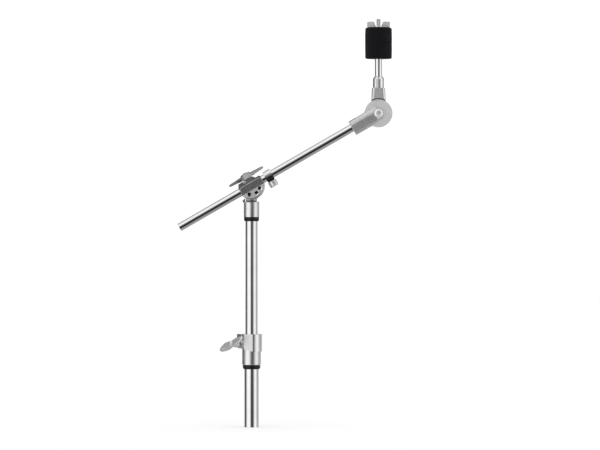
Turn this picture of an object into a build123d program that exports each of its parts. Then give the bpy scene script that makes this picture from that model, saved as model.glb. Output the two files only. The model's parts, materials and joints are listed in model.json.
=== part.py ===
from build123d import *
import os
from math import cos, radians, sin, sqrt

# Upper half of a cymbal boom stand: two post tubes with a height clamp, a tilting boom holder,
# the boom with its memory stopper, and the toothed tilter that carries the cymbal seat.
# Millimetres, +Z up. Origin: post axis, at the lower end of the lower tube. The boom lies in a
# plane parallel to XZ and rises towards +X; the stand's front faces -Y.

os.makedirs("parts", exist_ok=True)

# ---------------------------------------------------------------- driving dimensions
RUN_GAP = 0.05            # radial clearance of every turning or sliding fit
BODY_GAP = 0.3            # clearance between parts that pass each other
M6_RADIUS = 3.0

LOWER_TUBE_D = 22.2
LOWER_TUBE_BORE = 19.8
UPPER_TUBE_D = 19.1
UPPER_TUBE_BORE = 16.7
BOOM_D = 12.7
BOOM_BORE = 9.7

# height clamp
RING_BOTTOM = 88.5        # black trim ring
SLEEVE_BOTTOM = 95.0      # chrome sleeve
CLAMP_BOTTOM = 115.5
CLAMP_TOP = 141.8
LOWER_TUBE_TOP = 121.0
UPPER_TUBE_BOTTOM = 10.0
CLAMP_RADIUS = 16.2
CLAMP_BORE = 11.95
EAR_REACH = 21.5
EAR_HALF = 11.2           # from the slot to the outer face of each ear
STUD_REACH = 15.6
STUD_HEIGHT = 127.0
STUD_TURN = 40.0          # the stud points left and this much towards the front
HEIGHT_WING_DROP = 22.0   # the rear wing of the height nut hangs this much below level

# boom holder
BASE_BOTTOM = 314.2       # black trim ring
COLLAR_BOTTOM = 320.7
COLLAR_TOP = 344.0
COLLAR_RADIUS = 12.1
HOLDER_HEIGHT = 368.0     # tilt axis
BOOM_TILT = 30.0
TILT_LIMIT = 40.0         # the boom tilts this far above and below level
BOOM_Y = -6.5             # boom axis, in front of the post axis
BOLT_Y = 8.0              # eye bolt axis, behind it
BOWL_RADIUS = 20.9
CRADLE_RADIUS = 16.0
DRUM_RADIUS = 15.7
CAP_TOP = 12.0
LINER_RADIUS = 7.15

# boom, stopper and tilter, measured along the boom from the tilt axis
BOOM_TAIL = -127.0
BOOM_HEAD = 200.0
STOPPER_START = 24.5
STOPPER_WIDTH = 12.0
TILTER_REACH = 223.1
TILTER_DROP = 1.0         # the tilter casting sits this much below the boom's axis
SOCKET_START = 177.0
DISC_RADIUS = 21.3
SOCKET_RADIUS = 12.1
CASTING_DEPTH = 9.15      # half depth of both tilter castings, front to back

# cymbal seat
ROD_RADIUS = 5.75
ROD_SHOULDER = 561.5
ROD_TOP = 622.8
FELT_BOTTOM = 561.9
FELT_MIDDLE = 586.35
FELT_TOP = 609.8
FELT_RADIUS = 20.2

# ---------------------------------------------------------------- directions and planes
along = Vector(cos(radians(BOOM_TILT)), 0, sin(radians(BOOM_TILT)))
across = Vector(-sin(radians(BOOM_TILT)), 0, cos(radians(BOOM_TILT)))
front = Vector(0, -1, 0)
up = Vector(0, 0, 1)
stud_way = Vector(-cos(radians(STUD_TURN)), -sin(radians(STUD_TURN)), 0)
ears = Vector(-sin(radians(STUD_TURN)), cos(radians(STUD_TURN)), 0)
tilt_axis = Vector(0, 0, HOLDER_HEIGHT)
boom_axis = tilt_axis + Vector(0, BOOM_Y, 0)
tilter_axis = boom_axis + along * TILTER_REACH - across * TILTER_DROP


def level(height):
    """Horizontal plane on the post axis."""
    return Plane.XY.offset(height)


def base_face(y):
    """Upright plane through the tilt axis, facing the front, square to the post."""
    return Plane(origin=tilt_axis + Vector(0, y, 0), x_dir=(1, 0, 0), z_dir=front)


def holder_face(y):
    """The same plane turned with the boom: x runs along the boom, y away from it."""
    return Plane(origin=tilt_axis + Vector(0, y, 0), x_dir=along, z_dir=front)


def holder_up(height, y=0.0):
    """Plane parallel to the boom, facing away from it."""
    return Plane(origin=tilt_axis + across * height + Vector(0, y, 0), x_dir=along, z_dir=across)


def boom_section(reach):
    """Plane square to the boom: x runs to the back, y away from the boom."""
    return Plane(origin=boom_axis + along * reach, x_dir=(0, 1, 0), z_dir=along)


def socket_section(reach):
    """Plane square to the boom, on the middle of the tilter casting."""
    section_origin = boom_axis + along * reach - across * TILTER_DROP
    return Plane(origin=section_origin, x_dir=(0, 1, 0), z_dir=along)


def socket_face(y):
    """Front-facing plane on the tilter axis, turned with the boom. y counts from the boom."""
    return Plane(origin=tilter_axis + Vector(0, y, 0), x_dir=along, z_dir=front)


def head_face(y):
    """Front-facing plane on the tilter axis, square to the cymbal rod."""
    return Plane(origin=tilter_axis + Vector(0, y, 0), x_dir=(1, 0, 0), z_dir=front)


def rod_level(height):
    """Horizontal plane on the cymbal rod's axis."""
    return Plane(origin=(tilter_axis.X, tilter_axis.Y, height))


def clamp_plan(height):
    """Horizontal plane on the post, x along the clamp's ears, y along its stud."""
    return Plane(origin=(0, 0, height), x_dir=ears, z_dir=(0, 0, 1))


def stud_seat(offset):
    """Plane across the height stud; x points where the rear wing of its nut hangs."""
    wing_way = ears * cos(radians(HEIGHT_WING_DROP)) - up * sin(radians(HEIGHT_WING_DROP))
    seat_origin = ears * STUD_REACH + up * STUD_HEIGHT + stud_way * offset
    return Plane(origin=seat_origin, x_dir=wing_way, z_dir=stud_way)


# ---------------------------------------------------------------- repeated pieces
def tube(end, outer_r, inner_r, length):
    """Plain ring or tube, with its edges just broken."""
    with BuildPart() as ring:
        with BuildSketch(end):
            Circle(outer_r)
            Circle(inner_r, mode=Mode.SUBTRACT)
        extrude(amount=length)
        edge_break = min(0.35, (outer_r - inner_r) / 4)
        chamfer(ring.edges().filter_by(GeomType.CIRCLE), edge_break)
    return ring.part


def screw_shank(end, length, radius=M6_RADIUS):
    """Threaded shank drawn at its full diameter, chamfered at the far end."""
    with BuildPart() as shank:
        with BuildSketch(end):
            Circle(radius)
        extrude(amount=length)
        chamfer(shank.faces().sort_by(Axis(end.origin, end.z_dir))[-1].edges(), 0.6)
    return shank.part


# station along a leaf: share of its reach, share of its width, thickness, sideways sweep
LEAF_STATIONS = [
    (0.10, 0.90, 5.0, 0.0),
    (0.29, 1.00, 4.6, 0.4),
    (0.52, 0.94, 3.8, 0.6),
    (0.74, 0.74, 3.6, -0.6),
    (0.92, 0.50, 3.2, -2.6),
    (1.00, 0.22, 1.6, -3.8),
]


def leaf_wing_nut(seat, hub_radius, hub_height, taper, bore, rise, reach, width, pitch, sweep):
    """Cast wing nut with two pitched leaves, their mid plane at rise over the seat."""
    with BuildPart() as nut:
        with BuildSketch(seat):
            Circle(hub_radius)
        extrude(amount=hub_height, taper=taper)
        top_edge = nut.faces().sort_by(Axis(seat.origin, seat.z_dir))[-1].edges()
        fillet(top_edge, 1.6)
        for side in (1, -1):
            leaf_across = seat.y_dir * (side * cos(radians(pitch))) + seat.z_dir * sin(radians(pitch))
            for reach_share, width_share, thickness, sweep_off in LEAF_STATIONS:
                place = Vector(side * reach * reach_share, side * sweep_off * sweep, rise)
                station = seat.from_local_coords(place)
                with BuildSketch(Plane(origin=station, x_dir=leaf_across, z_dir=seat.x_dir * side)):
                    Ellipse(width * width_share / 2, thickness / 2)
            loft()
        with BuildSketch(seat):
            Circle(M6_RADIUS + RUN_GAP)
        extrude(amount=bore, mode=Mode.SUBTRACT)
    return nut.part


FIN_THICKNESS = 2.8
FIN_INNER = 4.4
FIN_OUTER = 17.4
FIN_TOP_INNER = 7.0
FIN_HEIGHT = 8.8
FIN_ROUND = 1.4


def fin_wing_nut(seat, hub_radius, hub_height, fin_foot):
    """Small wing nut with two upright fins that splay outwards. fin_foot is their lower edge."""
    fin_top = fin_foot + FIN_HEIGHT
    with BuildPart() as nut:
        with BuildSketch(seat):
            Circle(hub_radius)
        extrude(amount=hub_height)
        fillet(nut.faces().sort_by(Axis(seat.origin, seat.z_dir))[-1].edges(), 0.8)
        fin_plane = Plane(origin=seat.origin, x_dir=seat.x_dir, z_dir=seat.y_dir * -1)
        with BuildSketch(fin_plane) as fins:
            for side in (1, -1):
                with BuildLine():
                    Polyline(
                        (side * FIN_INNER, fin_foot),
                        (side * FIN_OUTER, fin_foot),
                        (side * (FIN_OUTER + 0.3), fin_top - 0.4),
                        (side * FIN_TOP_INNER, fin_top),
                        (side * FIN_INNER, fin_foot + 2.4),
                        close=True,
                    )
                make_face()
            fin_corners = [
                corner for corner in fins.vertices()
                if abs(fin_plane.to_local_coords(corner.center()).X) > FIN_TOP_INNER - 1
            ]
            fillet(fin_corners, FIN_ROUND)
        extrude(amount=FIN_THICKNESS / 2, both=True)
        with BuildSketch(seat):
            Circle(M6_RADIUS + RUN_GAP)
        extrude(amount=fin_top + 1, mode=Mode.SUBTRACT)
    return nut.part


def coil_spring(foot, wire_r, mean_r, height, turns):
    """Open helical compression spring standing on the plane foot."""
    coil = Helix(pitch=height / turns, height=height, radius=mean_r)
    coil = foot.location * coil
    with BuildPart() as spring:
        with BuildSketch(Plane(origin=coil @ 0, z_dir=coil % 0)):
            Circle(wire_r)
        sweep(path=coil)
    return spring.part


def save(part, name):
    part.label = name
    export_step(part, f"parts/{name}.step")


# ================================================================ lower post and height clamp
lower_tube_radius = LOWER_TUBE_D / 2
upper_tube_radius = UPPER_TUBE_D / 2
boom_radius = BOOM_D / 2

RIVET_RADIUS = 1.5
HEIGHT_RIVET_TURN = 55.0
height_rivet_way = Vector(-sin(radians(HEIGHT_RIVET_TURN)), -cos(radians(HEIGHT_RIVET_TURN)), 0)
HEIGHT_RIVET_LEVEL = 99.8
HEIGHT_RIVET_FOOT = 10.1
SLEEVE_RADIUS = 14.5
TRIM_RING_RADIUS = 13.4
RING_GROOVE = 0.3         # the trim ring snaps into a groove this deep


def height_rivet_plane(reach):
    return Plane(origin=height_rivet_way * reach + up * HEIGHT_RIVET_LEVEL, z_dir=height_rivet_way)


with BuildPart() as lower_tube:
    with BuildSketch(level(0)):
        Circle(lower_tube_radius)
        Circle(LOWER_TUBE_BORE / 2, mode=Mode.SUBTRACT)
    extrude(amount=LOWER_TUBE_TOP)
    with BuildSketch(level(RING_BOTTOM)):
        Circle(lower_tube_radius)
        Circle(lower_tube_radius - RING_GROOVE, mode=Mode.SUBTRACT)
    extrude(amount=SLEEVE_BOTTOM - RING_BOTTOM, mode=Mode.SUBTRACT)
    with BuildSketch(height_rivet_plane(8)):
        Circle(RIVET_RADIUS)
    extrude(amount=5, mode=Mode.SUBTRACT)
save(lower_tube.part, "lower_tube")

with BuildPart() as height_trim_ring:
    with BuildSketch(level(RING_BOTTOM)):
        Circle(TRIM_RING_RADIUS)
        Circle(lower_tube_radius - RING_GROOVE, mode=Mode.SUBTRACT)
    extrude(amount=SLEEVE_BOTTOM - RING_BOTTOM)
    ring_edges = height_trim_ring.edges().filter_by(GeomType.CIRCLE).group_by(Axis.Z)[0]
    chamfer(ring_edges.sort_by(SortBy.LENGTH)[-1], 2.0, 1.6)
save(height_trim_ring.part, "height_trim_ring")

with BuildPart() as clamp_sleeve:
    with BuildSketch(level(SLEEVE_BOTTOM)):
        Circle(SLEEVE_RADIUS)
    extrude(amount=LOWER_TUBE_TOP - SLEEVE_BOTTOM)
    bottom_edge = clamp_sleeve.edges().filter_by(GeomType.CIRCLE).sort_by(Axis.Z)[0]
    chamfer(bottom_edge, 0.5)
    with BuildSketch(level(SLEEVE_BOTTOM)):
        Circle(lower_tube_radius)
    extrude(amount=LOWER_TUBE_TOP - SLEEVE_BOTTOM, mode=Mode.SUBTRACT)
    with BuildSketch(height_rivet_plane(8)):
        Circle(RIVET_RADIUS)
    extrude(amount=8, mode=Mode.SUBTRACT)
save(clamp_sleeve.part, "clamp_sleeve")

with BuildPart() as height_rivet:
    with BuildSketch(height_rivet_plane(HEIGHT_RIVET_FOOT)):
        Circle(RIVET_RADIUS)
    extrude(amount=SLEEVE_RADIUS - HEIGHT_RIVET_FOOT - 0.5)
save(height_rivet.part, "height_rivet")

CLAMP_SLOT = 1.8
FLAT_REACH = 14.6         # flat on the clamp's front, from the post axis
FLAT_TURN = 19.0          # it faces the front and this much to the left
UNDERCUT_START = 3.0      # the underside rises to the left from here
UNDERCUT_RISE = 10.0
UNDERCUT_REACH = 40.0
STUD_INSIDE = 11.0        # length of the stud inside the far ear
WASHER_RADIUS = 7.0
SEAT_CUT_RADIUS = 7.6     # round seat cut into the clamp for the washer
flat_way = Vector(-sin(radians(FLAT_TURN)), -cos(radians(FLAT_TURN)), 0)

with BuildPart() as height_clamp:
    with BuildSketch(clamp_plan(CLAMP_BOTTOM)) as clamp_outline:
        Circle(CLAMP_RADIUS)
        Rectangle(EAR_REACH, 2 * EAR_HALF, align=(Align.MIN, Align.CENTER))
        ear_corners = clamp_outline.vertices().group_by(Axis(Vector(0, 0, CLAMP_BOTTOM), ears))[-1]
        fillet(ear_corners, 1.8)
        Circle(CLAMP_BORE, mode=Mode.SUBTRACT)
        Rectangle(2 * EAR_REACH, CLAMP_SLOT, align=(Align.MIN, Align.CENTER), mode=Mode.SUBTRACT)
    extrude(amount=CLAMP_TOP - CLAMP_BOTTOM)
    with BuildSketch(Plane(origin=flat_way * FLAT_REACH + up * STUD_HEIGHT, z_dir=flat_way)):
        Rectangle(3 * CLAMP_RADIUS, 3 * CLAMP_RADIUS)
    extrude(amount=CLAMP_RADIUS, mode=Mode.SUBTRACT)
    with BuildSketch(level(CLAMP_BOTTOM)):
        Circle(SLEEVE_RADIUS)
    extrude(amount=LOWER_TUBE_TOP - CLAMP_BOTTOM, mode=Mode.SUBTRACT)
    with BuildSketch(Plane(origin=(0, 0, CLAMP_BOTTOM), x_dir=(1, 0, 0), z_dir=front)):
        with BuildLine():
            Polyline(
                (UNDERCUT_START, 0), (-UNDERCUT_REACH, 0), (-UNDERCUT_REACH, UNDERCUT_RISE), close=True
            )
        make_face()
    extrude(amount=UNDERCUT_REACH, both=True, mode=Mode.SUBTRACT)
    with BuildSketch(stud_seat(-STUD_INSIDE)):
        Circle(M6_RADIUS)
    extrude(amount=STUD_INSIDE, mode=Mode.SUBTRACT)
    with BuildSketch(stud_seat(0)):
        Circle(M6_RADIUS + BODY_GAP)
    extrude(amount=2 * EAR_HALF, mode=Mode.SUBTRACT)
    with BuildSketch(stud_seat(EAR_HALF)):
        Circle(SEAT_CUT_RADIUS)
    extrude(amount=CLAMP_RADIUS, mode=Mode.SUBTRACT)
save(height_clamp.part, "height_clamp")

WASHER_THICKNESS = 1.2
LIFT_OFF = 0.05           # air under each washer and nut, so that faces never cut
HEIGHT_HUB_RADIUS = 5.8
HEIGHT_HUB_HEIGHT = 19.0
HEIGHT_NUT_BORE = 16.0    # blind, so that the nut ends in a closed dome
height_washer_foot = EAR_HALF + LIFT_OFF
height_nut_foot = height_washer_foot + WASHER_THICKNESS + LIFT_OFF
height_stud_length = STUD_INSIDE + height_nut_foot + HEIGHT_NUT_BORE - 2
height_washer = tube(
    stud_seat(height_washer_foot), WASHER_RADIUS, M6_RADIUS + RUN_GAP, WASHER_THICKNESS
)
height_wing_nut = leaf_wing_nut(
    stud_seat(height_nut_foot), HEIGHT_HUB_RADIUS, HEIGHT_HUB_HEIGHT, taper=4, bore=HEIGHT_NUT_BORE,
    rise=14.6, reach=28.5, width=12.4, pitch=-25, sweep=0,
)
save(screw_shank(stud_seat(-STUD_INSIDE), height_stud_length), "height_stud")
save(height_washer, "height_washer")
save(height_wing_nut, "height_wing_nut")

# nylon bush that the upper tube slides and turns in
with BuildPart() as height_bushing:
    with BuildSketch(level(LOWER_TUBE_TOP + BODY_GAP)):
        Circle(CLAMP_BORE - RUN_GAP)
        Circle(upper_tube_radius + RUN_GAP, mode=Mode.SUBTRACT)
    extrude(amount=CLAMP_TOP - 0.4 - LOWER_TUBE_TOP - BODY_GAP)
save(height_bushing.part, "height_bushing")

# ================================================================ upper post and holder base
UPPER_TUBE_TOP = 341.0
BASE_RING_RADIUS = 11.6
upper_tube_length = UPPER_TUBE_TOP - UPPER_TUBE_BOTTOM
upper_tube = tube(
    level(UPPER_TUBE_BOTTOM), upper_tube_radius, UPPER_TUBE_BORE / 2, upper_tube_length
)
save(upper_tube, "upper_tube")

with BuildPart() as base_trim_ring:
    with BuildSketch(level(BASE_BOTTOM)):
        Circle(BASE_RING_RADIUS)
        Circle(upper_tube_radius, mode=Mode.SUBTRACT)
    extrude(amount=COLLAR_BOTTOM - BASE_BOTTOM)
    ring_edges = base_trim_ring.edges().filter_by(GeomType.CIRCLE).group_by(Axis.Z)[0]
    chamfer(ring_edges.sort_by(SortBy.LENGTH)[-1], 1.6, 1.2)
save(base_trim_ring.part, "base_trim_ring")

BASE_FRONT = -16.9
BASE_BACK = 14.5
LIP_BACK = -14.1
CHEEKS = [(1.7, 4.4), (11.4, 14.0)]
CHEEK_RADIUS = 5.2
PIN_RADIUS = 2.5
NECK_HALF = 8.4
LUG = [(-9.4, -18.6), (-9.4, -26.6), (-13.0, -25.2), (-14.0, -22.0)]    # from the tilt axis
LUG_HALF = 3.0
BALL_RADIUS = 25.0        # rounds the saddle off in front and behind
WEB_RADIUS = 13.0         # behind the seat the cradle is closer
SADDLE_SPLIT = 1.8
LIP_RIGHT = -22.0         # the lip runs down and round from here
LIP_LEFT = 230.0
TOOTH = 0.8
TOOTH_STEP = 6.5
BASE_RIVET_LEVEL = 332.0

boom_sweep_gap = LINER_RADIUS + BODY_GAP
# a point under the boom at its steepest: down = rise * out + drop
sweep_rise = sin(radians(TILT_LIMIT)) / cos(radians(TILT_LIMIT))
sweep_drop = boom_sweep_gap / cos(radians(TILT_LIMIT))
SWEEP_HALF = 30.0


def base_rivet_plane(reach):
    return Plane(origin=(0, reach, BASE_RIVET_LEVEL), z_dir=(0, 1, 0))


# saddle under the boom, with its serrated cradle and the neck down to the collar
with BuildPart() as saddle:
    with BuildSketch(base_face(BASE_BACK)):
        Circle(BOWL_RADIUS)
        with Locations((0, COLLAR_TOP - HOLDER_HEIGHT)):
            Rectangle(2 * NECK_HALF, 8, align=(Align.CENTER, Align.MIN))
        with BuildLine():
            Polyline(
                (0, -sweep_drop),
                (SWEEP_HALF, -sweep_drop - sweep_rise * SWEEP_HALF),
                (SWEEP_HALF, SWEEP_HALF),
                (-SWEEP_HALF, SWEEP_HALF),
                (-SWEEP_HALF, -sweep_drop - sweep_rise * SWEEP_HALF),
                close=True,
            )
        make_face(mode=Mode.SUBTRACT)
    extrude(amount=BASE_BACK - BASE_FRONT)
    with BuildSketch(base_face(SADDLE_SPLIT)):
        Circle(CRADLE_RADIUS)
        with PolarLocations(
            CRADLE_RADIUS, 7, start_angle=270 - 3 * TOOTH_STEP, angular_range=6 * TOOTH_STEP, endpoint=True
        ):
            RegularPolygon(TOOTH, 4)
    extrude(amount=SADDLE_SPLIT - BASE_FRONT, mode=Mode.SUBTRACT)
    with BuildSketch(base_face(BASE_BACK)):
        Circle(WEB_RADIUS)
    extrude(amount=BASE_BACK - SADDLE_SPLIT, mode=Mode.SUBTRACT)
    # round lip in front of the boom
    with BuildSketch(base_face(LIP_BACK)):
        Circle(BOWL_RADIUS)
        Circle(CRADLE_RADIUS + BODY_GAP, mode=Mode.SUBTRACT)
        with BuildLine():
            Polyline(
                (0, 0),
                (2 * SWEEP_HALF * cos(radians(LIP_RIGHT)), 2 * SWEEP_HALF * sin(radians(LIP_RIGHT))),
                (2 * SWEEP_HALF, SWEEP_HALF),
                (-2 * SWEEP_HALF, SWEEP_HALF),
                (-2 * SWEEP_HALF, -SWEEP_HALF),
                (2 * SWEEP_HALF * cos(radians(LIP_LEFT)), 2 * SWEEP_HALF * sin(radians(LIP_LEFT))),
                close=True,
            )
        make_face(mode=Mode.SUBTRACT)
    extrude(amount=LIP_BACK - BASE_FRONT)
    with Locations((0, 0, HOLDER_HEIGHT)):
        Sphere(BALL_RADIUS, mode=Mode.INTERSECT)

with BuildPart() as boom_base:
    with BuildSketch(level(COLLAR_BOTTOM)):
        Circle(COLLAR_RADIUS)
    extrude(amount=COLLAR_TOP - COLLAR_BOTTOM)
    fillet(boom_base.edges().filter_by(GeomType.CIRCLE).sort_by(Axis.Z)[-1], 1.8)
    add(saddle.part)
    # small lug beside the neck, standing on the collar
    with BuildSketch(base_face(LUG_HALF)):
        with BuildLine():
            Polyline(*LUG, close=True)
        make_face()
    extrude(amount=2 * LUG_HALF)
    # two cheeks that hold the pivot pin behind the boom
    for cheek_front, cheek_back in CHEEKS:
        with BuildSketch(base_face(cheek_back)):
            Circle(CHEEK_RADIUS)
            Rectangle(2 * CHEEK_RADIUS, CRADLE_RADIUS + 1.5, align=(Align.CENTER, Align.MAX))
        extrude(amount=cheek_back - cheek_front)
    with BuildSketch(base_face(BASE_BACK)):
        Circle(PIN_RADIUS)
    extrude(amount=BASE_BACK, mode=Mode.SUBTRACT)
    with BuildSketch(level(COLLAR_BOTTOM)):
        Circle(upper_tube_radius)
    extrude(amount=UPPER_TUBE_TOP - COLLAR_BOTTOM, mode=Mode.SUBTRACT)
    with BuildSketch(base_rivet_plane(8)):
        Circle(RIVET_RADIUS)
    extrude(amount=6, mode=Mode.SUBTRACT)
save(boom_base.part, "boom_base")

with BuildPart() as base_rivet:
    with BuildSketch(base_rivet_plane(upper_tube_radius)):
        Circle(RIVET_RADIUS)
    extrude(amount=COLLAR_RADIUS - upper_tube_radius - 0.1)
save(base_rivet.part, "base_rivet")

with BuildPart() as pivot_pin:
    with BuildSketch(base_face(CHEEKS[-1][-1])):
        Circle(PIN_RADIUS)
    extrude(amount=CHEEKS[-1][-1] - CHEEKS[0][0])
save(pivot_pin.part, "pivot_pin")

# ================================================================ tilting boom holder
PARTING = 0.5             # cap and seat each stop this far from the boom's mid plane
CAP_HALF = 19.0
CAP_RADIUS = 20.0
CAP_BACK = 17.2
CAP_FRONT = -13.2
SEAT_BACK = 1.4
GROOVE_RADIUS = LINER_RADIUS + RUN_GAP
CAVITY_RADIUS = 7.0
PANEL_FRONT = -20.2
PANEL_BACK = -17.2
PANEL_HEIGHT = 11.0
PANEL_RIM = 1.5
CAP_STEP = 8.2            # the cap's head end is this high
CAP_STEP_START = 8.6
CAP_STEP_END = 11.5
SEAT_FACE_RADIUS = 20.6   # round face in front of the saddle's lip
SEAT_CORE_RADIUS = 14.6   # joins the face to the seat
SEAT_FACE_ROUND = 2.4
WINDOW_REACH = 13.6       # windows in the seat's front, from the tilt axis
WINDOW_ANGLES = (226, 277, 315)
WINDOW_SIZE = (6.2, 5.0)
WINDOW_DEPTH = 5.0
CAP_PIN_PLACE = (-6.3, 10.0)
CAP_PIN_HEAD = 2.0
CAP_PIN_RADIUS = 1.2

with BuildPart() as boom_seat:
    with BuildSketch(holder_face(SEAT_BACK)):
        Circle(DRUM_RADIUS)
        with Locations((0, -PARTING)):
            Rectangle(40, 40, align=(Align.CENTER, Align.MAX), mode=Mode.INTERSECT)
        with PolarLocations(
            DRUM_RADIUS, 19, start_angle=270 - 9 * TOOTH_STEP, angular_range=18 * TOOTH_STEP, endpoint=True
        ):
            RegularPolygon(TOOTH, 4, mode=Mode.SUBTRACT)
    extrude(amount=SEAT_BACK - BASE_FRONT)
    for face_radius, face_back in ((SEAT_CORE_RADIUS, BASE_FRONT), (SEAT_FACE_RADIUS, PANEL_BACK)):
        with BuildSketch(holder_face(face_back)):
            Circle(face_radius)
            with Locations((0, -PANEL_HEIGHT / 2 - BODY_GAP)):
                Rectangle(50, 50, align=(Align.CENTER, Align.MAX), mode=Mode.INTERSECT)
        extrude(amount=face_back - PANEL_FRONT)
    front_edges = boom_seat.edges().filter_by(GeomType.CIRCLE).group_by(Axis.Y)[0]
    fillet(front_edges, SEAT_FACE_ROUND)
    with BuildSketch(boom_section(-25)):
        Circle(GROOVE_RADIUS)
    extrude(amount=50, mode=Mode.SUBTRACT)
    with BuildSketch(holder_face(PANEL_FRONT)):
        for window_angle in WINDOW_ANGLES:
            with PolarLocations(WINDOW_REACH, 1, start_angle=window_angle):
                RectangleRounded(*WINDOW_SIZE, 1.0)
    extrude(amount=-WINDOW_DEPTH, mode=Mode.SUBTRACT)
save(boom_seat.part, "boom_seat")

with BuildPart() as boom_cap:
    with BuildSketch(holder_face(CAP_BACK)) as cap_outline:
        Circle(CAP_RADIUS)
        with Locations((0, PARTING)):
            Rectangle(2 * CAP_HALF, CAP_TOP - PARTING, align=(Align.CENTER, Align.MIN), mode=Mode.INTERSECT)
        fillet(cap_outline.vertices().group_by(Axis.Y)[-1], 2.5)
    extrude(amount=CAP_BACK - CAP_FRONT)
    with BuildSketch(holder_face(CAP_FRONT)):
        Circle(CAP_RADIUS)
        with Locations((0, PARTING)):
            Rectangle(2 * CAP_HALF, CAP_TOP - PARTING, align=(Align.CENTER, Align.MIN), mode=Mode.INTERSECT)
    extrude(amount=CAP_FRONT - PANEL_BACK)
    with BuildSketch(holder_face(PANEL_BACK)):
        SlotOverall(2 * CAP_HALF, PANEL_HEIGHT)
    extrude(amount=PANEL_BACK - PANEL_FRONT)
    fillet(boom_cap.faces().sort_by(Axis.Y)[0].edges(), 0.7)
    with BuildSketch(holder_face(PANEL_FRONT)):
        SlotOverall(2 * CAP_HALF - 2 * PANEL_RIM, PANEL_HEIGHT - 2 * PANEL_RIM)
    extrude(amount=-0.6, mode=Mode.SUBTRACT)
    with BuildSketch(boom_section(-25)):
        Circle(GROOVE_RADIUS)
    extrude(amount=50, mode=Mode.SUBTRACT)
    with BuildSketch(holder_face(CAP_BACK)):
        Circle(CAVITY_RADIUS)
    extrude(amount=CAP_BACK - SEAT_BACK, mode=Mode.SUBTRACT)
    with BuildSketch(holder_up(0, BOLT_Y)):
        Circle(M6_RADIUS + BODY_GAP)
    extrude(amount=CAP_TOP + 1, mode=Mode.SUBTRACT)
    with BuildSketch(holder_up(0, BOLT_Y)):
        Circle(5.2)
    extrude(amount=9.5, mode=Mode.SUBTRACT)
    with BuildSketch(holder_face(PANEL_BACK)):
        with Locations(CAP_PIN_PLACE):
            Circle(CAP_PIN_RADIUS)
    extrude(amount=-4, mode=Mode.SUBTRACT)
    with BuildSketch(holder_face(CAP_BACK)):
        with BuildLine():
            Polyline(
                (CAP_STEP_START, CAP_TOP),
                (CAP_STEP_END, CAP_STEP),
                (2 * CAP_HALF, CAP_STEP),
                (2 * CAP_HALF, CAP_TOP),
                close=True,
            )
        make_face()
    extrude(amount=CAP_BACK - PANEL_FRONT, mode=Mode.SUBTRACT)
save(boom_cap.part, "boom_cap")

with BuildPart() as cap_pin:
    with BuildSketch(holder_face(PANEL_BACK + 4)):
        with Locations(CAP_PIN_PLACE):
            Circle(CAP_PIN_RADIUS)
    extrude(amount=4)
    with BuildSketch(holder_face(PANEL_BACK)):
        with Locations(CAP_PIN_PLACE):
            Circle(CAP_PIN_HEAD)
    extrude(amount=1.6)
    fillet(cap_pin.faces().sort_by(Axis.Y)[0].edges(), 1.2)
save(cap_pin.part, "cap_pin")

EYE_RADIUS = 5.5
EYE_HALF = 3.2
HOLDER_HUB_RADIUS = 12.4
HOLDER_HUB_HEIGHT = 8.6
HOLDER_HUB_TAPER = 32
holder_washer_foot = CAP_TOP + LIFT_OFF
holder_nut_foot = holder_washer_foot + WASHER_THICKNESS + LIFT_OFF
with BuildPart() as eye_bolt:
    with BuildSketch(holder_face(BOLT_Y + EYE_HALF)):
        Circle(EYE_RADIUS)
    extrude(amount=2 * EYE_HALF)
    with BuildSketch(holder_up(3, BOLT_Y)):
        Circle(M6_RADIUS)
    extrude(amount=holder_nut_foot + HOLDER_HUB_HEIGHT + 1 - 3)
    chamfer(eye_bolt.faces().sort_by(Axis(tilt_axis, across))[-1].edges(), 0.6)
    with BuildSketch(holder_face(BOLT_Y + EYE_HALF)):
        Circle(PIN_RADIUS + RUN_GAP)
    extrude(amount=2 * EYE_HALF, mode=Mode.SUBTRACT)
save(eye_bolt.part, "eye_bolt")

save(coil_spring(holder_up(5.9, BOLT_Y), 0.4, 4.2, 3.0, 2.5), "lift_spring")
holder_washer = tube(
    holder_up(holder_washer_foot, BOLT_Y), WASHER_RADIUS, M6_RADIUS + RUN_GAP, WASHER_THICKNESS
)
holder_wing_nut = leaf_wing_nut(
    holder_up(holder_nut_foot, BOLT_Y), HOLDER_HUB_RADIUS, HOLDER_HUB_HEIGHT,
    taper=HOLDER_HUB_TAPER, bore=HOLDER_HUB_HEIGHT,
    rise=3.3, reach=30.0, width=13.4, pitch=20, sweep=1,
)
save(holder_washer, "holder_washer")
save(holder_wing_nut, "holder_wing_nut")

with BuildPart() as boom_liner:
    with BuildSketch(boom_section(-CAP_HALF + 0.2)):
        Circle(LINER_RADIUS)
        Circle(boom_radius + RUN_GAP, mode=Mode.SUBTRACT)
        Rectangle(1.2, 20, align=(Align.CENTER, Align.MIN), mode=Mode.SUBTRACT)
    extrude(amount=2 * CAP_HALF - 0.4)
save(boom_liner.part, "boom_liner")

# ================================================================ boom and memory stopper
boom_tube = tube(boom_section(BOOM_TAIL), boom_radius, BOOM_BORE / 2, BOOM_HEAD - BOOM_TAIL)
save(boom_tube, "boom_tube")

STOPPER_BORE = boom_radius + 0.07
STOPPER_SPLIT = -1.5
BLOCK_HALF = 8.8
BLOCK_BOTTOM = -8.2
SCREW_RADIUS = 2.5
THUMB_RADIUS = 7.0
THUMB_END = 18.2
THUMB_ROUND = 2.0
KNURL_RADIUS = 1.1
stopper_middle = STOPPER_START + STOPPER_WIDTH / 2

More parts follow.
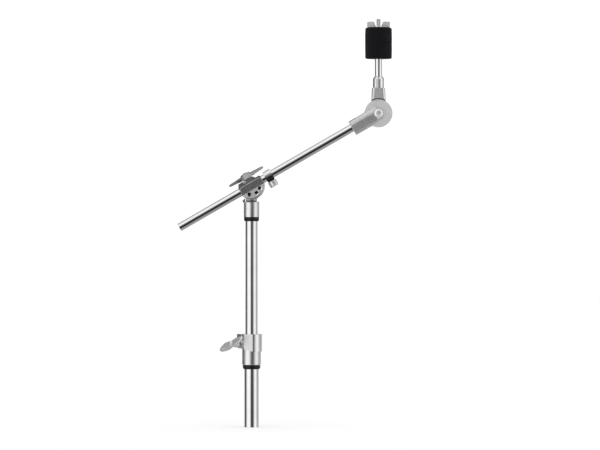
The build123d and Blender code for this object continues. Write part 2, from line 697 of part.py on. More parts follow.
with BuildPart() as stopper_ring:
    with BuildSketch(boom_section(STOPPER_START)):
        with Locations((0, 1.2)):
            Circle(8.3)
        with Locations((0, STOPPER_SPLIT)):
            Rectangle(30, 30, align=(Align.CENTER, Align.MIN), mode=Mode.INTERSECT)
        Circle(STOPPER_BORE, mode=Mode.SUBTRACT)
    extrude(amount=STOPPER_WIDTH)
save(stopper_ring.part, "stopper_ring")

with BuildPart() as stopper_block:
    with BuildSketch(boom_section(STOPPER_START + 0.2)) as block_outline:
        with Locations((0, BLOCK_BOTTOM)):
            Rectangle(2 * BLOCK_HALF, STOPPER_SPLIT - BLOCK_BOTTOM, align=(Align.CENTER, Align.MIN))
        fillet(block_outline.vertices().group_by(Axis.Y)[0], 2.0)
        Circle(STOPPER_BORE, mode=Mode.SUBTRACT)
    extrude(amount=STOPPER_WIDTH - 0.4)
    with BuildSketch(Plane(origin=boom_axis + along * stopper_middle, z_dir=across * -1)):
        Circle(SCREW_RADIUS + RUN_GAP)
    extrude(amount=12, mode=Mode.SUBTRACT)
save(stopper_block.part, "stopper_block")


def thumb_plane(depth):
    """Plane under the boom at the stopper, facing away from the boom."""
    thumb_origin = boom_axis + along * stopper_middle - across * depth
    return Plane(origin=thumb_origin, x_dir=along, z_dir=across * -1)


thumb_washer_foot = -BLOCK_BOTTOM + LIFT_OFF
THUMB_WASHER = 0.75
thumb_head_foot = thumb_washer_foot + THUMB_WASHER + LIFT_OFF
stopper_washer = tube(thumb_plane(thumb_washer_foot), 5.2, SCREW_RADIUS + RUN_GAP, THUMB_WASHER)
save(stopper_washer, "stopper_washer")

with BuildPart() as stopper_screw:
    with BuildSketch(thumb_plane(thumb_head_foot)):
        Circle(THUMB_RADIUS)
    extrude(amount=THUMB_END - thumb_head_foot)
    thumb_faces = stopper_screw.faces().sort_by(Axis(boom_axis, across * -1))
    fillet(thumb_faces[-1].edges(), THUMB_ROUND)
    with BuildSketch(thumb_plane(thumb_head_foot)):
        with PolarLocations(THUMB_RADIUS + 0.5, 12):
            Circle(KNURL_RADIUS)
    extrude(amount=THUMB_END - thumb_head_foot, mode=Mode.SUBTRACT)
    with BuildSketch(thumb_plane(THUMB_END)):
        Rectangle(14, 1.6)
    extrude(amount=-1.6, mode=Mode.SUBTRACT)
    with BuildSketch(thumb_plane(boom_radius + 0.15)):
        Circle(SCREW_RADIUS)
    extrude(amount=thumb_head_foot - boom_radius)
save(stopper_screw.part, "stopper_screw")

# ================================================================ tilter
FACE_GAP = 0.2            # each toothed face stops this far from the mating plane
SOCKET_FACE = 6.0         # front face of the front disc, from the mating plane
DISC_CLEAR = DISC_RADIUS + 1.9
DISC_TEETH = 36
DISC_TOOTH = 0.7
TOOTH_SLOT = 1.2
TEETH_START = 11.0
SPRING_POCKET = 6.4
SPRING_DEPTH = 2.6
BOSS_RADIUS = 7.6

with BuildPart() as tilter_socket:
    with BuildSketch(socket_section(SOCKET_START)):
        Circle(SOCKET_RADIUS)
        Rectangle(2 * CASTING_DEPTH, 2 * SOCKET_RADIUS, mode=Mode.INTERSECT)
    extrude(amount=TILTER_REACH - SOCKET_START)
    chamfer(tilter_socket.faces().sort_by(Axis(boom_axis, along))[0].edges(), 0.7)
    with BuildSketch(socket_face(20)):
        Circle(DISC_CLEAR)
    extrude(amount=20 + FACE_GAP, mode=Mode.SUBTRACT)
    with BuildSketch(socket_face(-FACE_GAP)) as socket_outline:
        Circle(DISC_RADIUS)
        Rectangle(34, 2 * SOCKET_RADIUS, align=(Align.MAX, Align.CENTER))
        socket_corner = sqrt(DISC_RADIUS**2 - SOCKET_RADIUS**2)
        fillet(socket_outline.vertices().sort_by_distance((-socket_corner, SOCKET_RADIUS))[0], 9.0)
        fillet(socket_outline.vertices().sort_by_distance((-socket_corner, -SOCKET_RADIUS))[0], 3.0)
    extrude(amount=SOCKET_FACE - FACE_GAP)
    with BuildSketch(socket_face(-SOCKET_FACE)):
        Circle(BOSS_RADIUS)
    extrude(amount=CASTING_DEPTH - SOCKET_FACE)
    with BuildSketch(boom_section(SOCKET_START)):
        Circle(boom_radius)
    extrude(amount=BOOM_HEAD - SOCKET_START, mode=Mode.SUBTRACT)
    with BuildSketch(socket_face(-FACE_GAP)):
        with PolarLocations((DISC_RADIUS + TEETH_START) / 2, DISC_TEETH):
            Rectangle(DISC_RADIUS - TEETH_START, TOOTH_SLOT)
    extrude(amount=DISC_TOOTH, mode=Mode.SUBTRACT)
    with BuildSketch(socket_face(0)):
        Circle(SPRING_POCKET)
    extrude(amount=SPRING_DEPTH, mode=Mode.SUBTRACT)
    with BuildSketch(socket_face(0)):
        Circle(M6_RADIUS)
    extrude(amount=20, mode=Mode.SUBTRACT)
save(tilter_socket.part, "tilter_socket")

# rod side: disc behind, neck over it, fork-shaped where it passes the front disc
NECK_STEP = 38.7          # heights over the tilter axis
NECK_TOP = 52.4
CONE_TOP = 56.3
NECK_RADIUS = 8.7
BLOCK_WIDTH_LOW = 22.4
BLOCK_WIDTH_HIGH = 20.4
NECK_BASE = 14.0
ROD_SOCKET = 34.0
rod_x = tilter_axis.X
rod_z = tilter_axis.Z

with BuildPart() as tilter_head:
    with BuildSketch(rod_level(rod_z + NECK_BASE)):
        RectangleRounded(BLOCK_WIDTH_LOW, 2 * CASTING_DEPTH, 4.0)
    with BuildSketch(rod_level(rod_z + NECK_STEP)):
        RectangleRounded(BLOCK_WIDTH_HIGH, 2 * CASTING_DEPTH, 5.0)
    loft()
    with BuildSketch(rod_level(rod_z + NECK_STEP)):
        Circle(NECK_RADIUS)
    extrude(amount=NECK_TOP - NECK_STEP)
    with BuildSketch(rod_level(rod_z + NECK_TOP)):
        Circle(NECK_RADIUS)
    with BuildSketch(rod_level(rod_z + CONE_TOP)):
        Circle(ROD_RADIUS + 0.5)
    loft()
    with BuildSketch(head_face(-FACE_GAP)):
        Circle(DISC_CLEAR)
    extrude(amount=20, mode=Mode.SUBTRACT)
    with BuildSketch(head_face(SOCKET_FACE)):
        Circle(DISC_RADIUS)
    extrude(amount=SOCKET_FACE - FACE_GAP)
    with BuildSketch(head_face(CASTING_DEPTH)):
        Circle(BOSS_RADIUS)
    extrude(amount=CASTING_DEPTH - SOCKET_FACE)
    with BuildSketch(rod_level(rod_z + ROD_SOCKET)):
        Circle(ROD_RADIUS)
    extrude(amount=CONE_TOP - ROD_SOCKET, mode=Mode.SUBTRACT)
    with BuildSketch(head_face(FACE_GAP)):
        with PolarLocations((DISC_RADIUS + TEETH_START) / 2, DISC_TEETH):
            Rectangle(DISC_RADIUS - TEETH_START, TOOTH_SLOT)
    extrude(amount=-DISC_TOOTH, mode=Mode.SUBTRACT)
    with BuildSketch(head_face(0)):
        Circle(SPRING_POCKET)
    extrude(amount=-SPRING_DEPTH, mode=Mode.SUBTRACT)
    with BuildSketch(head_face(20)):
        Circle(M6_RADIUS + RUN_GAP)
    extrude(amount=20, mode=Mode.SUBTRACT)
save(tilter_head.part, "tilter_head")

BOLT_HEAD_RADIUS = 6.8
BOLT_HEAD_HEIGHT = 3.4
tilter_washer_foot = CASTING_DEPTH + LIFT_OFF
tilter_nut_foot = tilter_washer_foot + WASHER_THICKNESS + LIFT_OFF
TILTER_HUB_HEIGHT = 8.0
TILTER_BOLT_END = tilter_nut_foot + TILTER_HUB_HEIGHT + 2

with BuildPart() as tilter_bolt:
    with BuildSketch(head_face(-CASTING_DEPTH)):
        Circle(BOLT_HEAD_RADIUS)
    extrude(amount=BOLT_HEAD_HEIGHT)
    fillet(tilter_bolt.faces().sort_by(Axis.Y)[0].edges(), 3.2)
    with BuildSketch(head_face(TILTER_BOLT_END)):
        Circle(M6_RADIUS)
    extrude(amount=TILTER_BOLT_END + CASTING_DEPTH)
    chamfer(tilter_bolt.faces().sort_by(Axis.Y)[-1].edges(), 0.6)
    with BuildSketch(head_face(-CASTING_DEPTH - BOLT_HEAD_HEIGHT)):
        RegularPolygon(1.9, 6)
    extrude(amount=-2.4, mode=Mode.SUBTRACT)
save(tilter_bolt.part, "tilter_bolt")


def tilter_back(offset):
    """Plane behind the tilter, facing backwards along its bolt."""
    return Plane(origin=tilter_axis + Vector(0, offset, 0), x_dir=along, z_dir=(0, 1, 0))


save(coil_spring(tilter_back(-2.0), 0.45, 4.6, 4.0, 2.5), "tilter_spring")
tilter_washer = tube(
    tilter_back(tilter_washer_foot), WASHER_RADIUS, M6_RADIUS + RUN_GAP, WASHER_THICKNESS
)
save(tilter_washer, "tilter_washer")
save(fin_wing_nut(tilter_back(tilter_nut_foot), 6.2, TILTER_HUB_HEIGHT, 4.0), "tilter_wing_nut")

# ================================================================ cymbal seat
SLEEVE_WALL_RADIUS = 4.6
SLEEVE_FLANGE_RADIUS = 12.0
SLEEVE_FLANGE = 1.5
NUT_RECESS_RADIUS = 7.4
NUT_RECESS = 8.0
CYMBAL_HUB_HEIGHT = 9.9
THREADED_RADIUS = M6_RADIUS
CYMBAL_WASHER_RADIUS = 6.6
recess_floor = FELT_TOP - NUT_RECESS
sleeve_top = recess_floor - 0.6
nut_seat = recess_floor + WASHER_THICKNESS + 2 * LIFT_OFF

with BuildPart() as cymbal_rod:
    with BuildSketch(rod_level(rod_z + ROD_SOCKET)):
        Circle(ROD_RADIUS)
    extrude(amount=ROD_SHOULDER - rod_z - ROD_SOCKET)
    with BuildSketch(rod_level(ROD_SHOULDER)):
        Circle(THREADED_RADIUS)
    extrude(amount=ROD_TOP - ROD_SHOULDER)
    chamfer(cymbal_rod.edges().filter_by(GeomType.CIRCLE).sort_by(Axis.Z)[-1], 0.6)
save(cymbal_rod.part, "cymbal_rod")

with BuildPart() as seat_sleeve:
    with BuildSketch(rod_level(ROD_SHOULDER)):
        Circle(SLEEVE_FLANGE_RADIUS)
    extrude(amount=SLEEVE_FLANGE)
    with BuildSketch(rod_level(ROD_SHOULDER)):
        Circle(SLEEVE_WALL_RADIUS)
    extrude(amount=sleeve_top - ROD_SHOULDER)
    with BuildSketch(rod_level(ROD_SHOULDER)):
        Circle(THREADED_RADIUS)
    extrude(amount=sleeve_top - ROD_SHOULDER, mode=Mode.SUBTRACT)
save(seat_sleeve.part, "seat_sleeve")

FELT_ROUND = 3.6          # outer edges at the top and bottom of the pair
FELT_JOINT_ROUND = 0.4    # edges where the two felts meet
for felt_name, felt_foot, felt_head, foot_round, head_round in (
    ("felt_lower", FELT_BOTTOM, FELT_MIDDLE - BODY_GAP / 2, FELT_ROUND / 2, FELT_JOINT_ROUND),
    ("felt_upper", FELT_MIDDLE + BODY_GAP / 2, FELT_TOP, FELT_JOINT_ROUND, FELT_ROUND),
):
    with BuildPart() as felt:
        with BuildSketch(rod_level(felt_foot)):
            Circle(FELT_RADIUS)
        extrude(amount=felt_head - felt_foot)
        rims = felt.edges().filter_by(GeomType.CIRCLE).sort_by(Axis.Z)
        fillet(rims[0], foot_round)
        fillet(felt.edges().filter_by(GeomType.CIRCLE).sort_by(Axis.Z)[-1], head_round)
        with BuildSketch(rod_level(felt_foot)):
            Circle(SLEEVE_WALL_RADIUS + BODY_GAP)
        extrude(amount=felt_head - felt_foot, mode=Mode.SUBTRACT)
        with BuildSketch(rod_level(recess_floor)):
            Circle(NUT_RECESS_RADIUS)
        extrude(amount=NUT_RECESS, mode=Mode.SUBTRACT)
        with BuildSketch(rod_level(ROD_SHOULDER)):
            Circle(SLEEVE_FLANGE_RADIUS + BODY_GAP)
        extrude(amount=SLEEVE_FLANGE + BODY_GAP, mode=Mode.SUBTRACT)
    save(felt.part, felt_name)

cymbal_washer = tube(
    rod_level(recess_floor + LIFT_OFF), CYMBAL_WASHER_RADIUS, M6_RADIUS + RUN_GAP, WASHER_THICKNESS
)
cymbal_wing_nut = fin_wing_nut(
    Plane(origin=(rod_x, BOOM_Y, nut_seat)), 6.0, CYMBAL_HUB_HEIGHT, FELT_TOP + BODY_GAP - nut_seat
)
save(cymbal_washer, "cymbal_washer")
save(cymbal_wing_nut, "cymbal_wing_nut")
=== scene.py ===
import json
import math

import bpy
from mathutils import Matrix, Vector, noise


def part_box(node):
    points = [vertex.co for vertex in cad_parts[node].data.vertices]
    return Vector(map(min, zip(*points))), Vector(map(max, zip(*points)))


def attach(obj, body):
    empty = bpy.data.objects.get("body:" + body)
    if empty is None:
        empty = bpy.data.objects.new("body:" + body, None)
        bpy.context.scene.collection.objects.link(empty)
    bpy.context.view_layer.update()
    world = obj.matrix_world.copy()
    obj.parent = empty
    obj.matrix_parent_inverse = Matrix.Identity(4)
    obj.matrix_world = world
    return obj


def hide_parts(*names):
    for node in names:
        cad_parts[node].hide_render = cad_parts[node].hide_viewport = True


# Looks of the cymbal boom stand. Metres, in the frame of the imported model.

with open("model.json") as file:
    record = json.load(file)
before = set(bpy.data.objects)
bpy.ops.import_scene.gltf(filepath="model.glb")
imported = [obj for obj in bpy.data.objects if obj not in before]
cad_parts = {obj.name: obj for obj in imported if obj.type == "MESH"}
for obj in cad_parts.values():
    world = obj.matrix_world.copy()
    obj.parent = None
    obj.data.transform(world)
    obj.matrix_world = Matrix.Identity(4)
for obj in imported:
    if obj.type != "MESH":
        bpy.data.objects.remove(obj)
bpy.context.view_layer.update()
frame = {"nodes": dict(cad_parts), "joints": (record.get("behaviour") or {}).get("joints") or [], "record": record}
scene = bpy.context.scene
nodes = frame["nodes"]

MM = 0.001
THREAD_PITCH = 1.0 * MM


# ---------------------------------------------------------------- places read from the frame
def joint_named(name):
    for joint in frame["joints"]:
        if joint["name"] == name:
            return joint
    raise ValueError(name)


TILTER_CENTRE = Vector(joint_named("tilter_tilt")["pos_m"])
HEIGHT_STUD = joint_named("height_nut_turn")
HOLDER_STUD = joint_named("holder_nut_turn")
TILTER_STUD = joint_named("tilter_nut_turn")
CYMBAL_STUD = joint_named("cymbal_nut_turn")


# ---------------------------------------------------------------- node material helpers
class Nodes:
    """Short way to write a node tree. Inputs may be plain values or other nodes' outputs."""

    def __init__(self, tree):
        self.tree = tree

    def add(self, kind, inputs=None, **settings):
        node = self.tree.nodes.new(kind)
        for key, value in settings.items():
            setattr(node, key, value)
        for key, value in (inputs or {}).items():
            if isinstance(value, bpy.types.NodeSocket):
                self.tree.links.new(value, node.inputs[key])
            else:
                node.inputs[key].default_value = value
        return node

    def math(self, operation, first, second=0.0):
        node = self.add("ShaderNodeMath", {0: first, 1: second}, operation=operation)
        return node.outputs[0]

    def noise(self, vector, scale, detail=4.0, rough=0.55):
        node = self.add(
            "ShaderNodeTexNoise",
            {"Vector": vector, "Scale": scale, "Detail": detail, "Roughness": rough},
        )
        return node.outputs["Fac"]

    def dot(self, vector, way):
        node = self.add("ShaderNodeVectorMath", {0: vector, 1: way}, operation="DOT_PRODUCT")
        return node.outputs["Value"]

    def offset(self, vector, origin):
        node = self.add("ShaderNodeVectorMath", {0: vector, 1: origin}, operation="SUBTRACT")
        return node.outputs[0]

    def stretch(self, vector, scale):
        return self.add("ShaderNodeMapping", {"Vector": vector, "Scale": scale}).outputs[0]

    def turn(self, vector, angles):
        return self.add("ShaderNodeMapping", {"Vector": vector, "Rotation": angles}).outputs[0]

    def remap(self, value, low, high, to_low, to_high):
        node = self.add(
            "ShaderNodeMapRange",
            {"Value": value, "From Min": low, "From Max": high, "To Min": to_low, "To Max": to_high},
        )
        return node.outputs[0]

    def blend(self, factor, first, second):
        node = self.add("ShaderNodeMix", {0: factor, 2: first, 3: second}, data_type="FLOAT")
        return node.outputs[0]

    def mix(self, factor, first, second):
        node = self.add("ShaderNodeMix", data_type="RGBA")
        for index, value in ((0, factor), (6, first), (7, second)):
            if isinstance(value, bpy.types.NodeSocket):
                self.tree.links.new(value, node.inputs[index])
            else:
                node.inputs[index].default_value = value
        return node.outputs[2]

    def bump(self, height, strength, distance, normal=None):
        inputs = {"Height": height, "Strength": strength, "Distance": distance}
        if normal is not None:
            inputs["Normal"] = normal
        return self.add("ShaderNodeBump", inputs).outputs[0]


def new_material(name):
    material = bpy.data.materials.new(name)
    material.use_nodes = True
    tree = material.node_tree
    tree.nodes.clear()
    kit = Nodes(tree)
    output = kit.add("ShaderNodeOutputMaterial")
    shader = kit.add("ShaderNodeBsdfPrincipled")
    tree.links.new(shader.outputs[0], output.inputs["Surface"])
    place = kit.add("ShaderNodeTexCoord").outputs["Object"]
    return material, kit, shader, place


def link(kit, source, shader, socket):
    kit.tree.links.new(source, shader.inputs[socket])


def grey(value, blue=0.0):
    return (value, value, value + blue, 1.0)


# ---------------------------------------------------------------- plated metal
CLOUD_SCALE = 55.0            # noise scales count features per metre
SMEAR_SCALE = 210.0
WAVE_SCALE = 120.0
SCRATCH_SCALE = 2400.0
WAVE_HEIGHT = 0.6 * MM        # bump heights
GRAIN_HEIGHT = 0.08 * MM
THREAD_HEIGHT = 0.4 * MM
FLAT_METALLIC = 0.45
FLAT_ROUGHNESS = (0.34, 0.46)
FLAT_COSINE = (0.990, 0.998)  # a face counts as flat when it looks this nearly one of the ways
BUFFED_SHARE = 0.3            # what is left of the flat look where the face is buffed
# painted shade in recessed windows: the share of the tone left there, and its roughness
RECESS_SHADE_TONE = 0.05
RECESS_ROUGHNESS = 0.6


def plated_metal(
    name, tone, rough, spread, grain, grain_scale, waviness,
    tint=0.01, stretch=(1, 1, 1), turned=(0, 0, 0), thread=None,
    metallic=1.0, flats=(), flat_tone=0.74, buffed=None, recess=None,
):
    """Plated metal: cloudy roughness, faint finger marks, fine grain and slow waviness in the bump.

    stretch draws the grain out along one axis, after turned. thread is a screw joint whose
    ridges are added where the surface lies at the thread's own radius. flats are the ways that
    ground flat faces look: they are paler and duller than the plated curves. buffed makes the
    mask of a strip where the flat face is buffed brighter again. recess is the depth range, front
    to back, of windows whose colour is darkened with painted shade.
    """
    material, kit, shader, raw_place = new_material(name)
    place = kit.turn(raw_place, turned) if any(turned) else raw_place
    clouds = kit.noise(place, CLOUD_SCALE, 5.0)
    smears = kit.noise(kit.stretch(place, (1.0, 1.0, 0.35)), SMEAR_SCALE, 3.0)
    fine = kit.noise(kit.stretch(place, stretch), grain_scale, 3.0, 0.6)
    slow = kit.noise(place, WAVE_SCALE, 2.0)
    cloudy = kit.remap(clouds, 0.35, 0.7, 0.0, 1.0)
    colour = kit.mix(cloudy, grey(tone * 0.92, tint), grey(tone, tint))
    marks = kit.remap(smears, 0.55, 0.8, 0.0, 1.0)
    colour = kit.mix(kit.math("MULTIPLY", marks, 0.35), colour, grey(tone * 0.84, tint))
    roughness = kit.remap(clouds, 0.3, 0.75, rough, rough + spread)
    roughness = kit.math("ADD", roughness, kit.math("MULTIPLY", marks, spread))
    roughness = kit.math("ADD", roughness, kit.remap(fine, 0.3, 0.7, -spread / 3, spread / 3))
    normal = kit.bump(slow, waviness, WAVE_HEIGHT)
    normal = kit.bump(fine, grain, GRAIN_HEIGHT, normal)
    if thread is not None:
        ridges, on_thread = thread_ridges(kit, raw_place, thread)
        normal = kit.bump(kit.math("MULTIPLY", ridges, on_thread), 1.0, THREAD_HEIGHT, normal)
        # colour darker towards the bottom of the thread's grooves
        groove_darkening = kit.math("MULTIPLY", on_thread, kit.remap(ridges, -1.0, 0.2, 0.75, 0.0))
        colour = kit.mix(groove_darkening, colour, grey(tone * 0.22))
    if flats:
        ground = flat_mask(kit, flats)
        if buffed is not None:
            kept = kit.remap(buffed(kit, raw_place), 0.0, 1.0, 1.0, BUFFED_SHARE)
            ground = kit.math("MULTIPLY", ground, kept)
        scratches = kit.noise(kit.stretch(raw_place, (1.0, 1.0, 0.08)), SCRATCH_SCALE, 3.0, 0.7)
        scratched = kit.remap(scratches, 0.3, 0.7, 0.0, 1.0)
        pale = kit.mix(scratched, grey(flat_tone * 0.9), grey(flat_tone))
        colour = kit.mix(ground, colour, pale)
        duller = kit.remap(clouds, 0.3, 0.7, *FLAT_ROUGHNESS)
        roughness = kit.blend(ground, roughness, duller)
        link(kit, kit.remap(ground, 0.0, 1.0, metallic, FLAT_METALLIC), shader, "Metallic")
    else:
        shader.inputs["Metallic"].default_value = metallic
    if recess is not None:
        depth = kit.add("ShaderNodeSeparateXYZ", {0: raw_place}).outputs["Y"]
        front, back = recess
        inside = kit.remap(depth, front, front + MM, 0.0, 1.0)
        # painted shade: between the front and back depths the colour is darkened nearly to black
        painted_recess_shade = kit.math("MULTIPLY", inside, kit.math("LESS_THAN", depth, back))
        colour = kit.mix(painted_recess_shade, colour, grey(tone * RECESS_SHADE_TONE))
        roughness = kit.blend(painted_recess_shade, roughness, RECESS_ROUGHNESS)
    link(kit, colour, shader, "Base Color")
    link(kit, roughness, shader, "Roughness")
    link(kit, normal, shader, "Normal")
    return material


def flat_mask(kit, flats):
    """1 on faces that look one of the given ways, 0 on the curved faces round them."""
    facing = kit.add("ShaderNodeTexCoord").outputs["Normal"]
    ground = 0.0
    for way in flats:
        towards = kit.dot(facing, way)
        ground = kit.math("MAXIMUM", kit.remap(towards, *FLAT_COSINE, 0.0, 1.0), ground)
    return ground


BOOM_SLOPE = math.radians(30)
BOOM_WAY = Vector((math.cos(BOOM_SLOPE), 0, math.sin(BOOM_SLOPE)))
BOOM_ACROSS = Vector((-math.sin(BOOM_SLOPE), 0, math.cos(BOOM_SLOPE)))
STRIP_START = 5.0 * MM        # short of the tilter's axis
STRIP_TOP = 4.5 * MM
STRIP_FOOT = -8.0 * MM


def socket_strip(kit, place):
    """Strip along the tilter socket's arm, up to the bolt, in line with the boom."""
    offset = kit.offset(place, TILTER_CENTRE)
    reach = kit.dot(offset, BOOM_WAY)
    rise = kit.dot(offset, BOOM_ACROSS)
    strip = kit.remap(reach, -STRIP_START - MM, -STRIP_START, 1.0, 0.0)
    strip = kit.math("MULTIPLY", strip, kit.remap(rise, STRIP_TOP - MM, STRIP_TOP + MM, 1.0, 0.0))
    return kit.math("MULTIPLY", strip, kit.remap(rise, STRIP_FOOT - MM, STRIP_FOOT + MM, 0.0, 1.0))


THREAD_LOW_RADIUS = 2.7 * MM      # an M6 thread lies between these
THREAD_HIGH_RADIUS = 3.02 * MM


def thread_ridges(kit, place, joint):
    """Helical ridges round a screw joint's axis, and where the surface is that thread."""
    axis = Vector(joint["axis"]).normalized()
    side = axis.orthogonal().normalized()
    other = axis.cross(side)
    offset = kit.offset(place, joint["pos_m"])
    reach = kit.dot(offset, axis)
    first = kit.dot(offset, side)
    second = kit.dot(offset, other)
    angle = kit.math("ARCTAN2", first, second)
    turns = kit.math("MULTIPLY", reach, 2 * math.pi / THREAD_PITCH)
    ridges = kit.math("SINE", kit.math("ADD", turns, angle))
    square = kit.math("ADD", kit.math("MULTIPLY", first, first), kit.math("MULTIPLY", second, second))
    radius = kit.math("SQRT", square)
    outside_core = kit.math("GREATER_THAN", radius, THREAD_LOW_RADIUS)
    inside_crest = kit.math("LESS_THAN", radius, THREAD_HIGH_RADIUS)
    return ridges, kit.math("MULTIPLY", outside_core, inside_crest)


def chrome(name, stretch, turned=(0, 0, 0), thread=None):
    """Bright plating on drawn tube, with the grain along it."""
    return plated_metal(
        name, tone=0.87, rough=0.035, spread=0.035, grain=0.05, grain_scale=900.0, waviness=0.012,
        stretch=stretch, turned=turned, thread=thread,
    )


def zinc(name, thread=None):
    """Dull bluish plating on screws and washers."""
    return plated_metal(
        name, tone=0.58, rough=0.28, spread=0.12, grain=0.20, grain_scale=1800.0, waviness=0.05,
        tint=0.015, thread=thread,
    )


def wing_cast(name, tone):
    """Plated wing nut, rubbed duller by fingers."""
    return plated_metal(
        name, tone, rough=0.28, spread=0.10, grain=0.16, grain_scale=1800.0, waviness=0.10,
        metallic=0.80,
    )


def dull_steel(name, tone, rough, spread):
    return plated_metal(name, tone, rough, spread, grain=0.20, grain_scale=1800.0, waviness=0.05)


def polished_steel(name, tone, rough, metallic=1.0, thread=None):
    return plated_metal(
        name, tone, rough, spread=0.06, grain=0.08, grain_scale=1200.0, waviness=0.03,
        metallic=metallic, thread=thread,
    )


def casting(name, tone, rough, **looks):
    """Satin plated casting with ground flat faces."""
    return plated_metal(
        name, tone, rough, spread=0.08, grain=0.12, grain_scale=2600.0, waviness=0.12,
        flats=CAST_FLATS, **looks,
    )


# ---------------------------------------------------------------- plastic and felt
def moulded_plastic(name, tone, rough):
    """Moulded plastic: fine spark-eroded grain, slightly cloudy sheen, paler scuffs."""
    material, kit, shader, place = new_material(name)
    grain = kit.noise(place, 2800.0, 3.0, 0.7)
    clouds = kit.noise(place, 90.0, 4.0)
    scuffs = kit.noise(kit.stretch(place, (1.0, 1.0, 6.0)), 260.0, 2.0)
    scuffed = kit.remap(scuffs, 0.62, 0.78, 0.0, 1.0)
    link(kit, kit.mix(scuffed, grey(tone), grey(tone * 1.9)), shader, "Base Color")
    roughness = kit.remap(clouds, 0.3, 0.7, rough, rough + 0.14)
    link(kit, kit.math("ADD", roughness, kit.math("MULTIPLY", scuffed, 0.1)), shader, "Roughness")
    shader.inputs["Specular IOR Level"].default_value = 0.3
    link(kit, kit.bump(grain, 0.35, GRAIN_HEIGHT), shader, "Normal")
    return material


def make_felt():
    """Pressed wool felt: matted fibres of several sizes, dusty paler tips, no gloss."""
    material, kit, shader, place = new_material("felt")
    matted = kit.noise(place, 700.0, 6.0, 0.75)
    fibres = kit.add(
        "ShaderNodeTexVoronoi", {"Vector": place, "Scale": 1100.0}, feature="SMOOTH_F1"
    ).outputs["Distance"]
    layers = kit.noise(kit.stretch(place, (1.0, 1.0, 5.0)), 120.0, 3.0)
    strands = kit.noise(kit.stretch(place, (0.4, 0.4, 3.0)), 1500.0, 4.0, 0.7)
    matting = kit.remap(matted, 0.35, 0.75, 0.0, 1.0)
    tone = kit.mix(matting, (0.0018, 0.0015, 0.0022, 1), (0.0060, 0.0050, 0.0068, 1))
    tone = kit.mix(kit.remap(layers, 0.45, 0.8, 0.0, 0.6), tone, (0.0085, 0.0072, 0.0095, 1))
    tone = kit.mix(kit.remap(strands, 0.62, 0.74, 0.0, 0.7), tone, (0.022, 0.020, 0.024, 1))
    link(kit, tone, shader, "Base Color")
    link(kit, kit.remap(matted, 0.3, 0.7, 0.88, 1.0), shader, "Roughness")
    shader.inputs["Sheen Weight"].default_value = 0.04
    shader.inputs["Sheen Roughness"].default_value = 0.6
    shader.inputs["Sheen Tint"].default_value = (0.7, 0.66, 0.74, 1.0)
    shader.inputs["Specular IOR Level"].default_value = 0.15
    coarse = kit.bump(matted, 0.8, 0.5 * MM)
    link(kit, kit.bump(fibres, 0.6, 0.2 * MM, coarse), shader, "Normal")
    return material


# ---------------------------------------------------------------- materials of the pieces
CLAMP_FLAT_TURN = math.radians(19)      # the height clamp's front face is turned this far left
CAST_FLATS = (
    (0, -1, 0),
    (0, 1, 0),
    (-math.sin(CLAMP_FLAT_TURN), -math.cos(CLAMP_FLAT_TURN), 0),
)
SEAT_WINDOW_DEPTHS = (-19.6 * MM, -14.9 * MM)   # from just inside the seat's front to past its windows
ALONG_POST = (1, 1, 0.02)               # grain stretched along the posts, and along the boom
ALONG_BOOM = (0.02, 1, 1)
MATERIAL_OF_SLOT = {
    "chrome_tube": chrome("chrome_tube", ALONG_POST),
    "chrome_cast": plated_metal(
        "chrome_cast", tone=0.84, rough=0.27, spread=0.06, grain=0.06, grain_scale=1500.0, waviness=0.12
    ),
    "satin_cast": casting("satin_cast", 0.86, 0.20),
    "polished_steel": polished_steel("polished_steel", 0.84, 0.07),
    "zinc_steel": zinc("zinc_steel"),
    "spring_steel": dull_steel("spring_steel", 0.42, 0.30, 0.12),
    "dark_steel": dull_steel("dark_steel", 0.10, 0.35, 0.15),
    "black_plastic": moulded_plastic("black_plastic", 0.006, 0.34),
    "nylon": moulded_plastic("nylon", 0.05, 0.45),
    "felt": make_felt(),
}
SPECIAL_MATERIAL = {
    "boom_tube": chrome("chrome_boom", ALONG_BOOM, turned=(0, BOOM_SLOPE, 0)),
    "cymbal_rod": chrome("chrome_rod", ALONG_POST, thread=CYMBAL_STUD),
    "height_stud": zinc("height_thread", thread=HEIGHT_STUD),
    "eye_bolt": zinc("eye_thread", thread=HOLDER_STUD),
    "tilter_bolt": polished_steel("tilter_thread", 0.90, 0.26, metallic=0.55, thread=TILTER_STUD),
    "tilter_socket": casting("socket_cast", 0.86, 0.17, buffed=socket_strip),
    "tilter_head": casting("head_cast", 0.86, 0.17, flat_tone=0.46),
    "boom_seat": casting("seat_cast", 0.80, 0.22, flat_tone=0.52, recess=SEAT_WINDOW_DEPTHS),
    "boom_cap": plated_metal(
        "cap_cast", tone=0.60, rough=0.24, spread=0.08, grain=0.10, grain_scale=1500.0, waviness=0.20
    ),
    "height_wing_nut": wing_cast("height_wing_cast", 0.86),
    "holder_wing_nut": wing_cast("holder_wing_cast", 0.40),
}

slot_of_node = {part["node"]: part["material_slot"] for part in frame["record"]["subparts"]}
for name, node in nodes.items():
    material = SPECIAL_MATERIAL.get(name, MATERIAL_OF_SLOT[slot_of_node[name]])
    node.data.materials.clear()
    node.data.materials.append(material)


